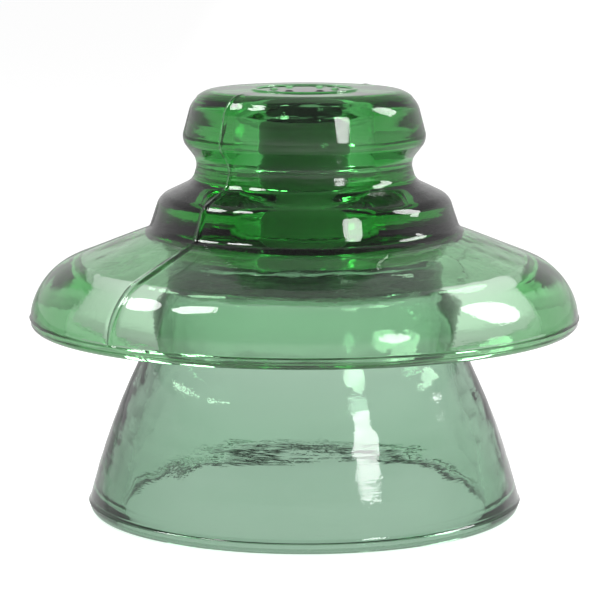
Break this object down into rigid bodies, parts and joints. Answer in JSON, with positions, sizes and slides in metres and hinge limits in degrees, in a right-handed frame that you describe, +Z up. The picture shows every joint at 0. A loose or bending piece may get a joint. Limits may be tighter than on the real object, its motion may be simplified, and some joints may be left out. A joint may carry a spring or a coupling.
{
  "type": "pin-type glass insulator",
  "caption": "Pin-type line insulator of green glass with a tie-wire neck, a wide rain umbrella, a bell petticoat and a threaded thimble for the pin.",
  "frame": {"origin": "middle of the petticoat's resting rim, at the level of the surface it stands on", "axes": "+Z up along the axis of the pin hole, towards the crown; +X and +Y across, and the camera side is -Y"},
  "size_m": [0.16, 0.16, 0.1234],
  "materials": {
    "green_glass": "fire-polished, slightly wavy",
    "pale_green_glass": "fire-polished, slightly wavy",
    "cement": "rough mineral cement",
    "gasket": "matt",
    "thimble": "moulded polyethylene, matt",
    "cushion": "cork and rubber, matt"
  },
  "bodies": {
    "root": {"head_shell": "green_glass", "petticoat_shell": "pale_green_glass", "joint_cement": "cement", "collar_gasket": "gasket", "pin_thimble": "thimble", "thimble_cushion": "cushion"}
  },
  "joints": []
}
